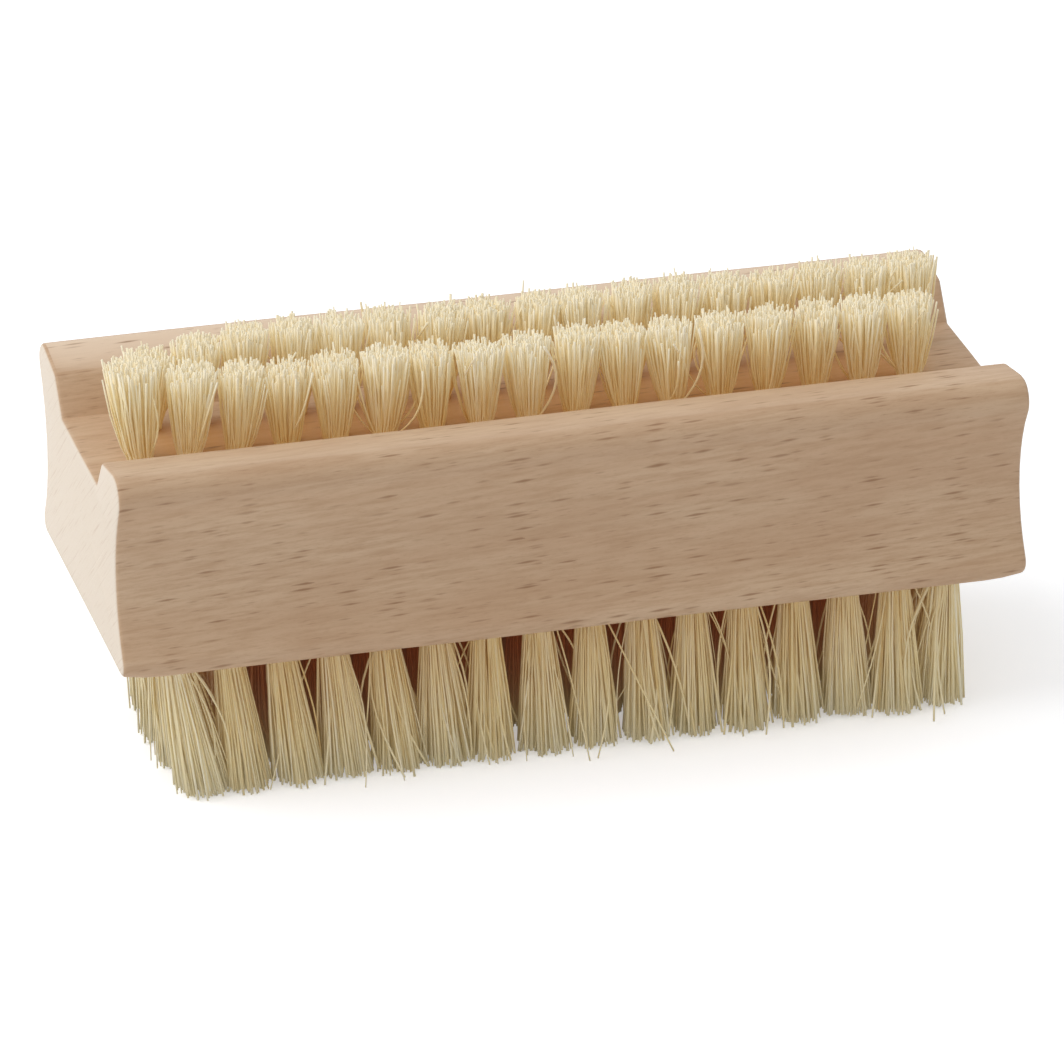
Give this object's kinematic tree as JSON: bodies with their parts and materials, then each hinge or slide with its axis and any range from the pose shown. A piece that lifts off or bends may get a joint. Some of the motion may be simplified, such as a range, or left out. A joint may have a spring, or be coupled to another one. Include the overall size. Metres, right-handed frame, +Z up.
{
  "type": "nail brush",
  "caption": "Double-sided wooden nail brush with a waisted block, long fibre tufts below and short ones in a channel above.",
  "frame": {"origin": "middle of the block, on the plane of the lower tips, where the brush stands", "axes": "+X along the block, +Y across it from the front, whose short row starts nearer the left end, to the back, +Z up from the lower tips to the short upper tufts"},
  "size_m": [0.095, 0.039, 0.041],
  "materials": {
    "wood": "bare beech, finely sanded, with short dark ray flecks",
    "fibre": "stiff undyed plant fibre, trimmed level",
    "wire": "flat anchor wire"
  },
  "bodies": {
    "root": {"block": "wood", "lower_row_1_tufts": "fibre", "lower_row_1_anchors": "wire", "lower_row_2_tufts": "fibre", "lower_row_2_anchors": "wire", "lower_row_3_tufts": "fibre", "lower_row_3_anchors": "wire", "lower_row_4_tufts": "fibre", "lower_row_4_anchors": "wire", "lower_row_5_tufts": "fibre", "lower_row_5_anchors": "wire", "upper_row_1_tufts": "fibre", "upper_row_1_anchors": "wire", "upper_row_2_tufts": "fibre", "upper_row_2_anchors": "wire"}
  },
  "joints": []
}
